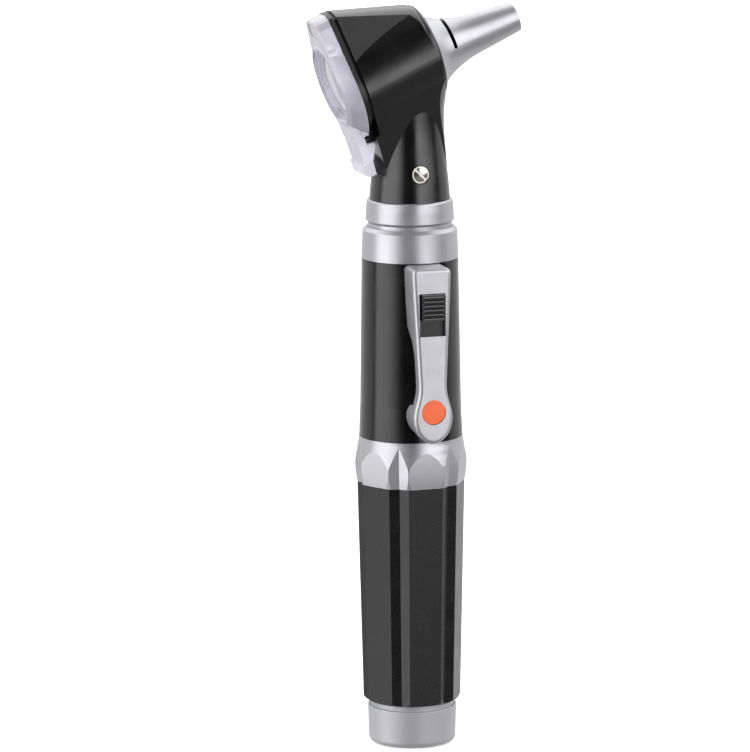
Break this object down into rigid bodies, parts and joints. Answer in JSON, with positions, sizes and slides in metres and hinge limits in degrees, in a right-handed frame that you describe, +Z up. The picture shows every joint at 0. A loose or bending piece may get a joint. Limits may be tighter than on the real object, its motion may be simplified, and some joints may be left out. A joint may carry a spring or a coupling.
{
  "type": "otoscope",
  "caption": "Pocket otoscope: battery handle with clip and slide switch, screw-on head with swing-out magnifier window and tapered nose cone.",
  "frame": {"origin": "centre of the end cap's bottom face, where the handle's axis leaves it", "axes": "+Z up the handle's axis to the head, +X the way the nose cone points, -Y the side of the clip and switch"},
  "size_m": [0.0488, 0.0308, 0.1675],
  "materials": {
    "satin_silver": "satin silver",
    "black_head": "satin black",
    "black_tube": "satin black coating",
    "black_grip": "satin black coating",
    "black_plastic": "matt black",
    "grey_plastic": "moulded",
    "clear_acrylic": "clear, faintly lavender",
    "lens_glass": "polished",
    "lamp_glass": "clear",
    "fibre_glass": "polished ends",
    "dark_glass_bead": "glossy",
    "plated_brass": "plated",
    "gold_brass": "bare",
    "solder": "dull",
    "tungsten": "drawn",
    "spring_steel": "drawn wire",
    "nickel": "bright nickel",
    "cell_jacket": "plain coated can, no lettering",
    "orange_inlay": "glossy orange"
  },
  "bodies": {
    "handle": {"grip_sleeve": "black_grip", "scallop_ring": "satin_silver", "upper_tube": "black_tube", "battery_tube": "plated_brass", "neck_ring": "satin_silver", "contact_insulator": "grey_plastic", "contact_spring": "spring_steel", "switch_strip": "gold_brass"},
    "cells": {"battery_lower": "cell_jacket", "battery_upper": "cell_jacket", "contact_pin": "gold_brass"},
    "cap_slide": {"cap_spring": "spring_steel"},
    "cap": {"end_cap": "satin_silver"},
    "lamp": {"lamp_base": "plated_brass", "lamp_insulator": "dark_glass_bead", "lamp_contact": "solder", "lamp_bulb": "lamp_glass", "lamp_filament": "tungsten"},
    "head": {"head_shell": "black_head", "window_bezel": "black_plastic", "window_pivot_pin": "nickel", "speculum_cone": "satin_silver", "cone_liner": "black_plastic", "fibre_bundle": "fibre_glass", "head_collar": "satin_silver", "neck_screw": "nickel"},
    "window": {"window_cover": "clear_acrylic", "magnifier_lens": "lens_glass"},
    "clip": {"pocket_clip": "satin_silver", "clip_badge": "orange_inlay", "switch_plate": "black_plastic"},
    "slider": {"switch_slider": "black_plastic", "switch_contact": "gold_brass"}
  },
  "joints": [
    {"name": "cap_travel", "type": "slide", "parent": "handle", "child": "cap_slide", "axis": [0, 0, -1], "range_m": [0, 0.0075], "deforming": ["cap_spring"]},
    {"name": "cap_turn", "type": "hinge", "parent": "cap_slide", "child": "cap", "pos_m": [0, 0, 0], "axis": [0, 0, -1], "range_deg": [0, 1800.5]},
    {"name": "cell_float", "type": "slide", "parent": "handle", "child": "cells", "axis": [0, 0, -1], "range_m": [0, 0.0005], "stiffness_N_per_m": 900},
    {"name": "head_lift", "type": "slide", "parent": "handle", "child": "lamp", "axis": [0, 0, 1], "range_m": [0, 0.0045]},
    {"name": "head_turn", "type": "hinge", "parent": "lamp", "child": "head", "pos_m": [0, 0, 0.119], "axis": [0, 0, 1], "range_deg": [0, 1620.5]},
    {"name": "window_swing", "type": "hinge", "parent": "head", "child": "window", "pos_m": [-0.02063, 0, 0.163], "axis": [0.9455, 0, 0.3256], "range_deg": [-95, 95]},
    {"name": "clip_flex", "type": "hinge", "parent": "handle", "child": "clip", "pos_m": [0, -0.011, 0.1108], "axis": [-1, 0, 0], "range_deg": [0, 4], "stiffness_Nm_per_rad": 2.5},
    {"name": "switch_slide", "type": "slide", "parent": "clip", "child": "slider", "axis": [0, 0, -1], "range_m": [0, 0.0035]}
  ],
  "couplings": [
    {"joint": "cap_turn", "follows": "cap_travel", "rad_per_m": 4188.8},
    {"joint": "head_turn", "follows": "head_lift", "rad_per_m": 6283.2}
  ]
}
